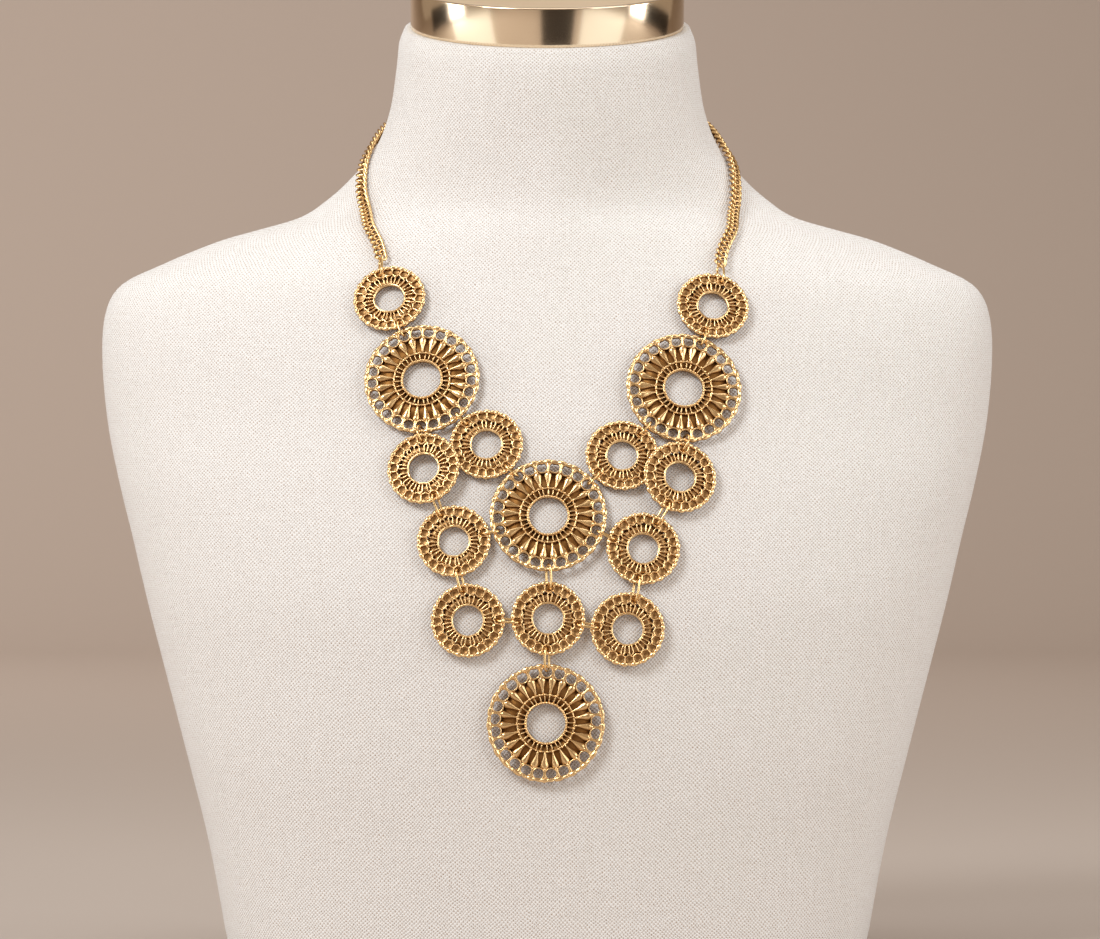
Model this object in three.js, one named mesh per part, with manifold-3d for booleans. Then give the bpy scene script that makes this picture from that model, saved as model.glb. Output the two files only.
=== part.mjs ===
// Bib necklace of openwork discs on a plain neck bust.
// Millimetres, +Z up, front towards -Y, origin in the middle of the bust's flat underside.
import * as THREE from 'three';
import { mergeVertices } from 'three/addons/utils/BufferGeometryUtils.js';
import Module from 'manifold-3d';

const wasm = await Module();
wasm.setup();

// Bust
const BUST_HEIGHT = 364;
const SHOULDER_WIDTH = 351;
const BUST_DEPTH = 180;
const NECK_WIDTH = 119;
const NECK_DEPTH = 108;
const NECK_SET_BACK = 40;
const NECK_TILT = THREE.MathUtils.degToRad(14);
const BUST_COLUMNS = 36;

// Brass cap
const CAP_WIDTH = 108.4;
const CAP_DEPTH = 98.5;
const CAP_HEIGHT = 15.5;
const CAP_BEVEL = 0.8;
const CAP_GAP = 0.3;
const CAP_SIDES = 36;

// Discs
const LARGE_RADIUS = 22;
const SMALL_RADIUS = 14;
const DISC_THICKNESS = 1.6;
const RELIEF = 0.45;
const RELIEF_SINK = 0.2;
const STAND_OFF = 1.6;
const RIM_GAP = 3;
const LEAST_GAP = 0.8;
const LAP_CLEARANCE = 0.4;
const LAP_TILT = THREE.MathUtils.degToRad(6);

// How the discs are laid out: rounds of moving them, the share of each miss that a move takes
// back, and how finely phases, slopes and laps are tried
const LAYOUT_PASSES = 300;
const LAYOUT_EASE = 0.3;
const PHASE_TRIALS = 24;
const SLOPE_REACH = 4;
const LAP_TRIALS = 72;
const LAP_SHARES = [1, 0.95, 0.9];
const LIFT_STEP = 0.05;

// Jump rings
const RING_WIRE = 0.9;
const RING_PLAY = 0.6;
const END_LINK_PLAY = 0.3;
const RING_TURN = THREE.MathUtils.degToRad(22);
const RING_STEPS = 10;
const RING_SIDES = 5;

// Chain
const CHAIN_WIDTH = 4;
const CHAIN_CLEARANCE = 0.3;
const CHAIN_SIDES = 8;
const CHAIN_STEPS = 30;
const END_LINK_WIRE = 1;
const END_RING_LENGTH = 8.6;
const END_LINK_LIFT = 0.7;

// Clasp at the nape
const CLASP_LENGTH = 12;
const CLASP_WIDTH = 5.5;
const CLASP_THICKNESS = 1.6;
const CLASP_WALL = 1.2;
const CLASP_EYE = 1.3;
const CLASP_PASS = CLASP_LENGTH / 2 - CLASP_WALL - RING_PLAY - RING_WIRE / 2;
const NAPE_RING_LENGTH = 4.6;
const NAPE_HEIGHT_SHARE = 0.93;
const CLASP_END_STEPS = 6;
const CLASP_HOLE_STEPS = 4;
const CLASP_EYE_SIDES = 8;

// Sections of the torso. height: share of BUST_HEIGHT. wide: share of SHOULDER_WIDTH.
// axis, front, back: distance from the origin along Y, as shares of BUST_DEPTH.
// power: 2 is an ellipse, more is squarer, less is leaner at the sides.
// parts: into how many steps the stretch up to the next row is divided.
const TORSO = [
  { height: 0.000, wide: 0.700, axis: 0.000, front: -0.445, back: 0.445, power: 2.6 },
  { height: 0.120, wide: 0.747, axis: 0.010, front: -0.450, back: 0.455, power: 2.5 },
  { height: 0.217, wide: 0.798, axis: 0.022, front: -0.452, back: 0.472, power: 2.5 },
  { height: 0.313, wide: 0.852, axis: 0.044, front: -0.444, back: 0.489, power: 2.4 },
  { height: 0.379, wide: 0.889, axis: 0.067, front: -0.429, back: 0.500, power: 2.4 },
  { height: 0.445, wide: 0.923, axis: 0.089, front: -0.397, back: 0.517, power: 2.35 },
  { height: 0.508, wide: 0.957, axis: 0.111, front: -0.353, back: 0.528, power: 2.3 },
  { height: 0.574, wide: 0.986, axis: 0.139, front: -0.303, back: 0.539, power: 2.15 },
  { height: 0.648, wide: 1.000, axis: 0.167, front: -0.244, back: 0.544, power: 2.10 },
  { height: 0.694, wide: 0.991, axis: 0.183, front: -0.203, back: 0.544, power: 2.00 },
  { height: 0.720, wide: 0.957, axis: 0.194, front: -0.178, back: 0.544, power: 1.90 },
  { height: 0.742, wide: 0.866, axis: 0.206, front: -0.158, back: 0.544, power: 1.75, parts: 2 },
  { height: 0.769, wide: 0.729, axis: 0.217, front: -0.133, back: 0.550, power: 1.60, parts: 2 },
];

// Sections of the neck. wide: share of NECK_WIDTH. deep: share of NECK_DEPTH.
// lean: share of NECK_TILT that the section has.
const NECK = [
  { height: 0.791, wide: 1.680, deep: 1.100, power: 1.50, lean: 0.00, parts: 2 },
  { height: 0.808, wide: 1.500, deep: 1.060, power: 1.50, lean: 0.03, parts: 2 },
  { height: 0.832, wide: 1.330, deep: 1.030, power: 1.60, lean: 0.12, parts: 2 },
  { height: 0.864, wide: 1.162, deep: 1.010, power: 1.80, lean: 0.30, parts: 2 },
  { height: 0.893, wide: 1.078, deep: 1.000, power: 1.95, lean: 0.50 },
  { height: 0.918, wide: 1.036, deep: 1.000, power: 2.00, lean: 0.70 },
  { height: 0.962, wide: 1.000, deep: 0.995, power: 2.00, lean: 0.95 },
  { height: 0.985, wide: 0.985, deep: 0.980, power: 2.00, lean: 1.00 },
  { height: 1.000, wide: 0.950, deep: 0.945, power: 2.00, lean: 1.00 },
];

// Places of the discs before they are linked, from the middle of the base.
// across: share of LARGE_RADIUS to the right. up: share of LARGE_RADIUS above CENTRE_HEIGHT.
// over: the disc that this one laps over. lap: by how much, as a share of SMALL_RADIUS.
const CENTRE_HEIGHT = 170.7;
const DISCS = [
  { name: 'top_left', across: -2.70, up: 3.68 },
  { name: 'upper_left', across: -2.12, up: 2.35, large: true },
  { name: 'left_1', across: -2.04, up: 0.81, over: 'left_2', lap: 0.19 },
  { name: 'left_2', across: -1.07, up: 1.15 },
  { name: 'left_3', across: -1.52, up: -0.43 },
  { name: 'left_4', across: -1.31, up: -1.76 },
  { name: 'top_right', across: 2.87, up: 3.63 },
  { name: 'upper_right', across: 2.29, up: 2.15, large: true },
  { name: 'right_1', across: 2.17, up: 0.64, over: 'right_2', lap: 0.35 },
  { name: 'right_2', across: 1.30, up: 0.95 },
  { name: 'right_3', across: 1.58, up: -0.56 },
  { name: 'right_4', across: 1.33, up: -1.90 },
  { name: 'centre', across: 0.02, up: 0.00, large: true },
  { name: 'low_centre', across: 0.02, up: -1.71 },
  { name: 'drop', across: -0.02, up: -3.46, large: true },
];

// Jump rings between two discs. gap: distance between the rims, as a share of RIM_GAP.
const LINKS = [
  { from: 'top_left', to: 'upper_left', gap: 0.30 },
  { from: 'upper_left', to: 'left_1', gap: 0.27 },
  { from: 'upper_left', to: 'left_2', gap: 0.27 },
  { from: 'left_1', to: 'left_3', gap: 1.00 },
  { from: 'left_2', to: 'centre', gap: 0.30 },
  { from: 'left_3', to: 'centre', gap: 0.27 },
  { from: 'left_3', to: 'left_4', gap: 0.93 },
  { from: 'left_4', to: 'low_centre', gap: 0.67 },
  { from: 'top_right', to: 'upper_right', gap: 0.30 },
  { from: 'upper_right', to: 'right_1', gap: 0.27 },
  { from: 'upper_right', to: 'right_2', gap: 0.27 },
  { from: 'right_1', to: 'right_3', gap: 1.13 },
  { from: 'right_2', to: 'centre', gap: 0.30 },
  { from: 'right_3', to: 'centre', gap: 0.60 },
  { from: 'right_3', to: 'right_4', gap: 1.10 },
  { from: 'right_4', to: 'low_centre', gap: 0.67 },
  { from: 'centre', to: 'low_centre', gap: 1.20 },
  { from: 'low_centre', to: 'drop', gap: 1.03 },
];

// Route of each chain over the bust, from the necklace to the nape.
// angle: degrees round the neck from the front. height: share of BUST_HEIGHT, at the axis.
const CHAIN_ROUTES = {
  left: [
    { angle: -56.5, height: 0.7725 },
    { angle: -63, height: 0.7870 },
    { angle: -69.5, height: 0.8030 },
    { angle: -74.5, height: 0.8215 },
    { angle: -79, height: 0.8395 },
    { angle: -84.5, height: 0.8551 },
    { angle: -89.5, height: 0.8680 },
    { angle: -95, height: 0.8785 },
    { angle: -103, height: 0.8890 },
    { angle: -115, height: 0.8995 },
    { angle: -130, height: 0.9110 },
    { angle: -146, height: 0.9220 },
  ],
  right: [
    { angle: 56, height: 0.7660 },
    { angle: 63, height: 0.7845 },
    { angle: 69.5, height: 0.7985 },
    { angle: 75, height: 0.8195 },
    { angle: 80, height: 0.8386 },
    { angle: 86, height: 0.8540 },
    { angle: 90.5, height: 0.8670 },
    { angle: 96, height: 0.8785 },
    { angle: 104, height: 0.8890 },
    { angle: 116, height: 0.8995 },
    { angle: 130, height: 0.9110 },
    { angle: 146, height: 0.9220 },
  ],
};

// The pattern of a disc, as shares of its radius
const PATTERNS = {
  large: {
    cells: 25, holeAt: 0.855, hole: 0.078, holeSides: 6, valley: 0.975, centre: 0.33, sides: 24,
    bands: [[0.33, 0.375]], petals: { from: 0.46, to: 0.755, half: 0.035 },
  },
  small: {
    cells: 22, holeAt: 0.785, hole: 0.085, holeSides: 6, valley: 0.97, centre: 0.40, sides: 16,
    bands: [[0.40, 0.45]],
  },
};

const GOLD = new THREE.MeshStandardMaterial({ color: 0xd9a441, metalness: 1, roughness: 0.32 });
const BRASS = new THREE.MeshStandardMaterial({ color: 0xd8ae5c, metalness: 1, roughness: 0.18 });
const LINEN = new THREE.MeshStandardMaterial({ color: 0xe2dcd2, metalness: 0, roughness: 0.95 });

const UP = new THREE.Vector3(0, 0, 1);
const ANGLE_STEP = 0.01;

// Solids and meshes

function bare(geometry) {
  const copy = geometry.clone();
  copy.deleteAttribute('normal');
  copy.deleteAttribute('uv');
  return mergeVertices(copy, 1e-5);
}

function toSolid(geometry) {
  const merged = bare(geometry);
  return new wasm.Manifold(new wasm.Mesh({
    numProp: 3,
    vertProperties: new Float32Array(merged.attributes.position.array),
    triVerts: new Uint32Array(merged.index.array),
  }));
}

function fromSolid(solid) {
  const mesh = solid.getMesh();
  const geometry = new THREE.BufferGeometry();
  geometry.setAttribute('position', new THREE.BufferAttribute(mesh.vertProperties, 3));
  geometry.setIndex(new THREE.BufferAttribute(mesh.triVerts, 1));
  return geometry;
}

function piece(name, geometry, material) {
  const shown = (geometry.index ? geometry : bare(geometry)).toNonIndexed();
  shown.computeVertexNormals();
  const mesh = new THREE.Mesh(shown, material);
  mesh.name = name;
  return mesh;
}

// A closed solid through rings of points, from the lowest ring to the highest
function loft(rings) {
  const sides = rings[0].length;
  const points = rings.flat();
  const faces = [];
  for (let row = 0; row + 1 < rings.length; row += 1) {
    for (let side = 0; side < sides; side += 1) {
      const a = row * sides + side;
      const b = row * sides + (side + 1) % sides;
      faces.push(a, b, b + sides, a, b + sides, a + sides);
    }
  }
  const middle = ring => ring.reduce((sum, p) => sum.add(p), new THREE.Vector3()).divideScalar(sides);
  const bottom = points.push(middle(rings[0])) - 1;
  const top = points.push(middle(rings.at(-1))) - 1;
  const last = (rings.length - 1) * sides;
  for (let side = 0; side < sides; side += 1) {
    const next = (side + 1) % sides;
    faces.push(bottom, next, side, top, last + side, last + next);
  }
  const geometry = new THREE.BufferGeometry().setFromPoints(points);
  geometry.setIndex(faces);
  return geometry;
}

// Bust

const sections = [
  ...TORSO.map(row => ({
    height: row.height * BUST_HEIGHT,
    half: row.wide * SHOULDER_WIDTH / 2,
    axis: row.axis * BUST_DEPTH,
    front: row.front * BUST_DEPTH,
    back: row.back * BUST_DEPTH,
    power: row.power,
    lean: 0,
    parts: row.parts ?? 1,
  })),
  ...NECK.map(row => ({
    height: row.height * BUST_HEIGHT,
    half: row.wide * NECK_WIDTH / 2,
    axis: NECK_SET_BACK,
    front: NECK_SET_BACK - row.deep * NECK_DEPTH / 2,
    back: NECK_SET_BACK + row.deep * NECK_DEPTH / 2,
    power: row.power,
    lean: row.lean * Math.tan(NECK_TILT),
    parts: row.parts ?? 1,
  })),
];

// The slope of one column at one row, from the rows on both sides
function slope(row, column) {
  const before = sections[Math.max(row - 1, 0)];
  const after = sections[Math.min(row + 1, sections.length - 1)];
  return (after[column] - before[column]) / (after.height - before.height);
}

function sectionAt(height) {
  const wanted = THREE.MathUtils.clamp(height, 0, BUST_HEIGHT);
  let row = 0;
  while (row < sections.length - 2 && sections[row + 1].height < wanted) row += 1;
  const low = sections[row];
  const high = sections[row + 1];
  const span = high.height - low.height;
  const t = (wanted - low.height) / span;
  const found = {};
  for (const column of ['half', 'axis', 'front', 'back', 'power', 'lean']) {
    found[column] = low[column] * (2 * t ** 3 - 3 * t ** 2 + 1)
      + high[column] * (3 * t ** 2 - 2 * t ** 3)
      + slope(row, column) * span * (t ** 3 - 2 * t ** 2 + t)
      + slope(row + 1, column) * span * (t ** 3 - t ** 2);
  }
  return found;
}

// The point of the bust's surface at a height and an angle round the axis, 0 at the front
function bustPoint(height, angle) {
  const s = sectionAt(height);
  const side = Math.sin(angle);
  const ahead = Math.cos(angle);
  const depth = ahead > 0 ? s.axis - s.front : s.back - s.axis;
  const reach = (Math.abs(side / s.half) ** s.power + Math.abs(ahead / depth) ** s.power)
    ** (-1 / s.power);
  return new THREE.Vector3(reach * side, s.axis - reach * ahead, height - reach * ahead * s.lean);
}

function bustNormal(height, angle) {
  const around = bustPoint(height, angle + ANGLE_STEP).sub(bustPoint(height, angle - ANGLE_STEP));
  const upward = bustPoint(height + 1, angle).sub(bustPoint(height - 1, angle));
  return around.cross(upward).normalize();
}

function bustRing(height) {
  const s = sectionAt(height);
  const ring = [];
  for (let column = 0; column < BUST_COLUMNS; column += 1) {
    const turn = 2 * Math.PI * column / BUST_COLUMNS;
    const depth = Math.cos(turn) > 0 ? s.axis - s.front : s.back - s.axis;
    ring.push(bustPoint(height, Math.atan2(s.half * Math.sin(turn), depth * Math.cos(turn))));
  }
  return ring;
}

function neckBust() {
  const rings = [bustRing(0)];
  for (let row = 0; row + 1 < sections.length; row += 1) {
    const low = sections[row];
    const high = sections[row + 1];
    for (let part = 1; part <= low.parts; part += 1) {
      rings.push(bustRing(low.height + (high.height - low.height) * part / low.parts));
    }
  }
  return piece('neck_bust', loft(rings), LINEN);
}

function bustCap() {
  const axis = new THREE.Vector3(0, -Math.sin(NECK_TILT), Math.cos(NECK_TILT));
  const seat = new THREE.Vector3(0, NECK_SET_BACK, BUST_HEIGHT).addScaledVector(axis, CAP_GAP);
  const ahead = new THREE.Vector3(0, -Math.cos(NECK_TILT), -Math.sin(NECK_TILT));
  const ring = (height, inset) => Array.from({ length: CAP_SIDES }, (_, side) => {
    const turn = 2 * Math.PI * side / CAP_SIDES;
    return seat.clone()
      .addScaledVector(axis, height)
      .addScaledVector(ahead, (CAP_DEPTH / 2 - inset) * Math.cos(turn))
      .add(new THREE.Vector3((CAP_WIDTH / 2 - inset) * Math.sin(turn), 0, 0));
  });
  const rings = [ring(0, 0), ring(CAP_HEIGHT - CAP_BEVEL, 0), ring(CAP_HEIGHT, CAP_BEVEL)];
  return piece('bust_cap', loft(rings), BRASS);
}

// Layout of the discs on the bust

function frontPoint(x, z) {
  const s = sectionAt(z);
  const share = Math.max(0, 1 - Math.abs(x / s.half) ** s.power) ** (1 / s.power);
  return new THREE.Vector3(x, s.axis - (s.axis - s.front) * share, z);
}

function frontNormal(x, z) {
  const across = frontPoint(x + SLOPE_REACH, z).sub(frontPoint(x - SLOPE_REACH, z));
  const upward = frontPoint(x, z + SLOPE_REACH).sub(frontPoint(x, z - SLOPE_REACH));
  return across.cross(upward).normalize();
}

function seatDisc(disc) {
  disc.normal = frontNormal(disc.x, disc.z);
  disc.centre = frontPoint(disc.x, disc.z)
    .addScaledVector(disc.normal, STAND_OFF + DISC_THICKNESS / 2);
}

const discs = new Map(DISCS.map(row => [row.name, {
  ...row,
  pattern: row.large ? PATTERNS.large : PATTERNS.small,
  radius: row.large ? LARGE_RADIUS : SMALL_RADIUS,
  x: row.across * LARGE_RADIUS,
  z: row.up * LARGE_RADIUS + CENTRE_HEIGHT,
}]));

const linked = new Map(LINKS.map(link => [`${link.from} ${link.to}`, link.gap * RIM_GAP]));
for (const disc of discs.values()) {
  if (disc.over) linked.set(`${disc.name} ${disc.over}`, -disc.lap * SMALL_RADIUS);
}

// Moves two discs apart or together until their rims have the wanted gap
function settlePair(a, b) {
  const wanted = linked.get(`${a.name} ${b.name}`) ?? linked.get(`${b.name} ${a.name}`);
  const off = a.centre.distanceTo(b.centre) - a.radius - b.radius - (wanted ?? LEAST_GAP);
  if (wanted === undefined && off >= 0) return;
  const flat = Math.hypot(b.x - a.x, b.z - a.z);
  const push = off * LAYOUT_EASE / flat;
  for (const [disc, way] of [[a, 1], [b, -1]]) {
    if (disc.name === 'centre') continue;
    disc.x += way * push * (b.x - a.x);
    disc.z += way * push * (b.z - a.z);
    seatDisc(disc);
  }
}

function layOut() {
  const all = [...discs.values()];
  all.forEach(seatDisc);
  for (let pass = 0; pass < LAYOUT_PASSES; pass += 1) {
    for (let i = 0; i < all.length; i += 1) {
      for (let j = i + 1; j < all.length; j += 1) settlePair(all[i], all[j]);
    }
  }
}

function setAxes(disc) {
  disc.side = new THREE.Vector3().crossVectors(UP, disc.normal).normalize();
  disc.up = new THREE.Vector3().crossVectors(disc.normal, disc.side);
}

function rimPoint(disc, angle, radius, offset) {
  return disc.centre.clone()
    .addScaledVector(disc.side, radius * Math.cos(angle))
    .addScaledVector(disc.up, radius * Math.sin(angle))
    .addScaledVector(disc.normal, offset);
}

// The least height of one disc's back face over the front of the disc under it
function lapHeight(upper, lower) {
  let least = Infinity;
  for (let trial = 0; trial < LAP_TRIALS; trial += 1) {
    for (const share of LAP_SHARES) {
      const turn = 2 * Math.PI * trial / LAP_TRIALS;
      const point = rimPoint(upper, turn, upper.radius * share, -DISC_THICKNESS / 2);
      const away = point.sub(lower.centre);
      const height = away.dot(lower.normal);
      const flat = Math.sqrt(Math.max(0, away.lengthSq() - height ** 2));
      if (flat < lower.radius) least = Math.min(least, height - DISC_THICKNESS / 2 - RELIEF);
    }
  }
  return least;
}

// A disc that laps over its neighbour is tilted and lifted until it clears it
function liftLapped(upper, lower) {
  const toward = lower.centre.clone().sub(upper.centre);
  toward.addScaledVector(upper.normal, -toward.dot(upper.normal)).normalize();
  upper.normal.addScaledVector(toward, -Math.tan(LAP_TILT)).normalize();
  setAxes(upper);
  while (lapHeight(upper, lower) < LAP_CLEARANCE) {
    upper.centre.addScaledVector(upper.normal, LIFT_STEP);
  }
}

function angleTo(disc, point) {
  const away = point.clone().sub(disc.centre);
  return Math.atan2(away.dot(disc.up), away.dot(disc.side));
}

// Turns the pattern so that its cells lie as near as they can to the discs that are linked
function setPhase(disc, neighbours) {
  const step = 2 * Math.PI / disc.pattern.cells;
  const angles = neighbours.map(other => angleTo(disc, other.centre));
  let least = Infinity;
  for (let trial = 0; trial < PHASE_TRIALS; trial += 1) {
    const phase = step * trial / PHASE_TRIALS;
    const miss = angles.reduce((sum, angle) => {
      const cells = (angle - phase) / step;
      return sum + (cells - Math.round(cells)) ** 2;
    }, 0);
    if (miss < least) {
      least = miss;
      disc.phase = phase;
    }
  }
}

// How far from the middle a jump ring passes through a cell, close to the rim
function passRadius(disc) {
  const { holeAt, hole } = disc.pattern;
  return disc.radius * (holeAt + hole) - RING_PLAY - RING_WIRE / 2;
}

// Where a jump ring passes through the cell that lies nearest to a point
function passToward(disc, point) {
  const step = 2 * Math.PI / disc.pattern.cells;
  const cell = Math.round((angleTo(disc, point) - disc.phase) / step);
  disc.ringCells.add(((cell % disc.pattern.cells) + disc.pattern.cells) % disc.pattern.cells);
  return rimPoint(disc, disc.phase + cell * step, passRadius(disc), 0);
}

// Discs

function circlePath(x, y, radius, sides) {
  const points = [];
  for (let side = 0; side < sides; side += 1) {
    const angle = 2 * Math.PI * side / sides;
    points.push(new THREE.Vector2(x + radius * Math.cos(angle), y + radius * Math.sin(angle)));
  }
  return points;
}

// A many-sided hole with a flat side outward, whose flats lie at the given radius
function flatHole(distance, angle, radius, sides) {
  const corner = radius / Math.cos(Math.PI / sides);
  const middle = new THREE.Vector2(distance * Math.cos(angle), distance * Math.sin(angle));
  return circlePath(0, 0, corner, sides)
    .map(point => point.rotateAround(new THREE.Vector2(), angle + Math.PI / sides).add(middle));
}

function plate(outline, holes, height, from) {
  const shape = new THREE.Shape(outline);
  shape.holes = holes.map(points => new THREE.Path(points));
  const geometry = new THREE.ExtrudeGeometry(shape, { depth: height, bevelEnabled: false });
  return toSolid(geometry.translate(0, 0, from));
}

// A scalloped outline: a peak between two cells and a valley outside each
function scallops(disc) {
  const step = Math.PI / disc.pattern.cells;
  const points = [];
  for (let half = 0; half < 2 * disc.pattern.cells; half += 1) {
    const radius = disc.radius * (half % 2 ? 1 : disc.pattern.valley);
    const angle = disc.phase + half * step;
    points.push(new THREE.Vector2(radius * Math.cos(angle), radius * Math.sin(angle)));
  }
  return points;
}

function petal(disc, angle) {
  const { from, to, half } = disc.pattern.petals;
  const at = (radius, across) => new THREE.Vector2(radius, across)
    .multiplyScalar(disc.radius)
    .rotateAround(new THREE.Vector2(), angle);
  return [at(from, 0), at(to, -half), at(to, half)];
}

function discMesh(disc) {
  const { cells, holeAt, hole, holeSides, centre, sides, bands, petals } = disc.pattern;
  const step = 2 * Math.PI / cells;
  const holes = [circlePath(0, 0, disc.radius * centre, sides)];
  for (let cell = 0; cell < cells; cell += 1) {
    if (!disc.large && !disc.ringCells.has(cell)) continue;
    const angle = disc.phase + cell * step;
    holes.push(flatHole(disc.radius * holeAt, angle, disc.radius * hole, holeSides));
  }
  let solid = plate(scallops(disc), holes, DISC_THICKNESS, -DISC_THICKNESS / 2);
  const reliefFrom = DISC_THICKNESS / 2 - RELIEF_SINK;
  const reliefHeight = RELIEF + RELIEF_SINK;
  for (const [inner, outer] of bands) {
    const band = plate(
      circlePath(0, 0, disc.radius * outer, sides),
      [circlePath(0, 0, disc.radius * inner, sides)],
      reliefHeight,
      reliefFrom,
    );
    solid = solid.add(band);
  }
  if (petals) {
    for (let cell = 0; cell < cells; cell += 1) {
      const outline = petal(disc, disc.phase + (cell + 0.5) * step);
      solid = solid.add(plate(outline, [], reliefHeight, reliefFrom));
    }
  }
  const mesh = piece(`disc_${disc.name}`, fromSolid(solid), GOLD);
  mesh.position.copy(disc.centre);
  mesh.quaternion.setFromRotationMatrix(
    new THREE.Matrix4().makeBasis(disc.side, disc.up, disc.normal),
  );
  return mesh;
}

// Jump rings

// An oval ring whose wire passes through a piece at a and one at b, standing along the normal.
// held: the height of what lies between its two strands.
function ovalRing(name, a, b, held, normal, turn) {
  const along = b.clone().sub(a);
  const bend = held / 2 / Math.cos(turn) + RING_PLAY + RING_WIRE / 2;
  const straight = Math.max(0, along.length() / 2 - bend);
  along.normalize();
  const across = new THREE.Vector3().crossVectors(along, normal).normalize();
  const out = new THREE.Vector3().crossVectors(across, along);
  const standing = out.multiplyScalar(Math.cos(turn)).addScaledVector(across, Math.sin(turn));
  const geometry = new THREE.TorusGeometry(bend, RING_WIRE / 2, RING_SIDES, RING_STEPS);
  const position = geometry.attributes.position;
  for (let i = 0; i < position.count; i += 1) {
    position.setX(i, position.getX(i) + Math.sign(position.getX(i)) * straight);
  }
  const mesh = piece(name, geometry, GOLD);
  mesh.position.copy(a).add(b).divideScalar(2);
  mesh.quaternion.setFromRotationMatrix(new THREE.Matrix4().makeBasis(
    along, standing, new THREE.Vector3().crossVectors(along, standing),
  ));
  return mesh;
}

// The height of a disc's rim between the strands of a ring that runs along a direction
function heldHeight(disc, pass, along) {
  const outward = pass.clone().sub(disc.centre).normalize();
  const length = (disc.radius - passRadius(disc)) / Math.abs(along.dot(outward));
  return DISC_THICKNESS + 2 * length * Math.abs(along.dot(disc.normal));
}

function jumpRing(link) {
  const from = discs.get(link.from);
  const to = discs.get(link.to);
  const a = passToward(from, to.centre);
  const b = passToward(to, a);
  const normal = from.normal.clone().add(to.normal).normalize();
  const along = b.clone().sub(a).normalize();
  const held = Math.max(heldHeight(from, a, along), heldHeight(to, b, along));
  const turn = from.x + to.x > 0 ? -RING_TURN : RING_TURN;
  return ovalRing(`ring_${link.from}_${link.to}`, a, b, held, normal, turn);
}

// Chain

const END_LINK_RADIUS = RING_WIRE / 2 + END_LINK_PLAY + END_LINK_WIRE / 2;

function torusLink(centre, along, normal) {
  const geometry = new THREE.TorusGeometry(
    END_LINK_RADIUS, END_LINK_WIRE / 2, RING_SIDES, RING_STEPS,
  );
  const across = new THREE.Vector3().crossVectors(normal, along).normalize();
  const out = new THREE.Vector3().crossVectors(along, across);
  return geometry.applyMatrix4(
    new THREE.Matrix4().makeBasis(along, across, out).setPosition(centre),
  );
}

function routePoint(stop, lift = 0) {
  const angle = THREE.MathUtils.degToRad(stop.angle);
  const height = stop.height * BUST_HEIGHT;
  return bustPoint(height, angle)
    .addScaledVector(bustNormal(height, angle), CHAIN_WIDTH / 2 + CHAIN_CLEARANCE + lift);
}

// The end of a chain at the nape
function napeEnd(way) {
  const height = BUST_HEIGHT * NAPE_HEIGHT_SHARE;
  const reach = CLASP_PASS + NAPE_RING_LENGTH + END_LINK_RADIUS;
  const angle = way * (Math.PI - reach / (NECK_DEPTH / 2));
  const normal = bustNormal(height, angle);
  const end = bustPoint(height, angle).addScaledVector(normal, CHAIN_WIDTH / 2 + CHAIN_CLEARANCE);
  return { end, normal };
}

// The angle and share of the bust's height at which a point stands off it
function stopAt(point) {
  const { axis, lean } = sectionAt(point.z);
  return {
    angle: THREE.MathUtils.radToDeg(Math.atan2(point.x, axis - point.y)),
    height: (point.z + (axis - point.y) * lean) / BUST_HEIGHT,
  };
}

// A curve that keeps the chain's clearance over the bust all along its route
function chainCurve(start, name, end) {
  const stops = [stopAt(start), ...CHAIN_ROUTES[name], stopAt(end)];
  const plan = new THREE.CatmullRomCurve3(
    stops.map(stop => new THREE.Vector3(stop.angle, stop.height * BUST_HEIGHT, 0)),
    false,
    'centripetal',
  );
  const points = plan.getSpacedPoints(CHAIN_STEPS)
    .map(point => routePoint({ angle: point.x, height: point.y / BUST_HEIGHT }));
  return new THREE.CatmullRomCurve3([start, ...points.slice(1, -1), end], false, 'centripetal');
}

function chainAssembly(name, way) {
  const top = discs.get(`top_${name}`);
  const first = routePoint(CHAIN_ROUTES[name][0]);
  const pass = passToward(top, first);
  const toward = first.clone().sub(pass).normalize();
  const under = stopAt(pass.clone().addScaledVector(toward, END_RING_LENGTH - RING_WIRE));
  const link = routePoint(under, END_LINK_LIFT);
  const heading = first.clone().sub(link).normalize();
  const start = link.clone().addScaledVector(heading, END_LINK_RADIUS);
  const nape = napeEnd(way);
  const curve = chainCurve(start, name, nape.end);
  const section = new THREE.Shape(circlePath(0, 0, CHAIN_WIDTH / 2, CHAIN_SIDES));
  const tube = new THREE.ExtrudeGeometry(section, {
    steps: CHAIN_STEPS, bevelEnabled: false, extrudePath: curve,
  });
  const leaving = curve.getTangent(1);
  const napeLink = nape.end.clone().addScaledVector(leaving, END_LINK_RADIUS);
  const solid = toSolid(tube)
    .add(toSolid(torusLink(link, heading, top.normal)))
    .add(toSolid(torusLink(napeLink, leaving, nape.normal)));
  const held = heldHeight(top, pass, link.clone().sub(pass).normalize());
  const ring = ovalRing(`ring_chain_${name}`, pass, link, held, top.normal, RING_TURN);
  return { meshes: [piece(`chain_${name}`, fromSolid(solid), GOLD), ring], napeLink, nape };
}

// Clasp

function stadium(length, width, steps) {
  const points = [];
  for (const [end, from] of [[1, -Math.PI / 2], [-1, Math.PI / 2]]) {
    for (let step = 0; step <= steps; step += 1) {
      const angle = from + Math.PI * step / steps;
      points.push(new THREE.Vector2(
        end * (length - width) / 2 + width / 2 * Math.cos(angle), width / 2 * Math.sin(angle),
      ));
    }
  }
  return points;
}

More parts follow.
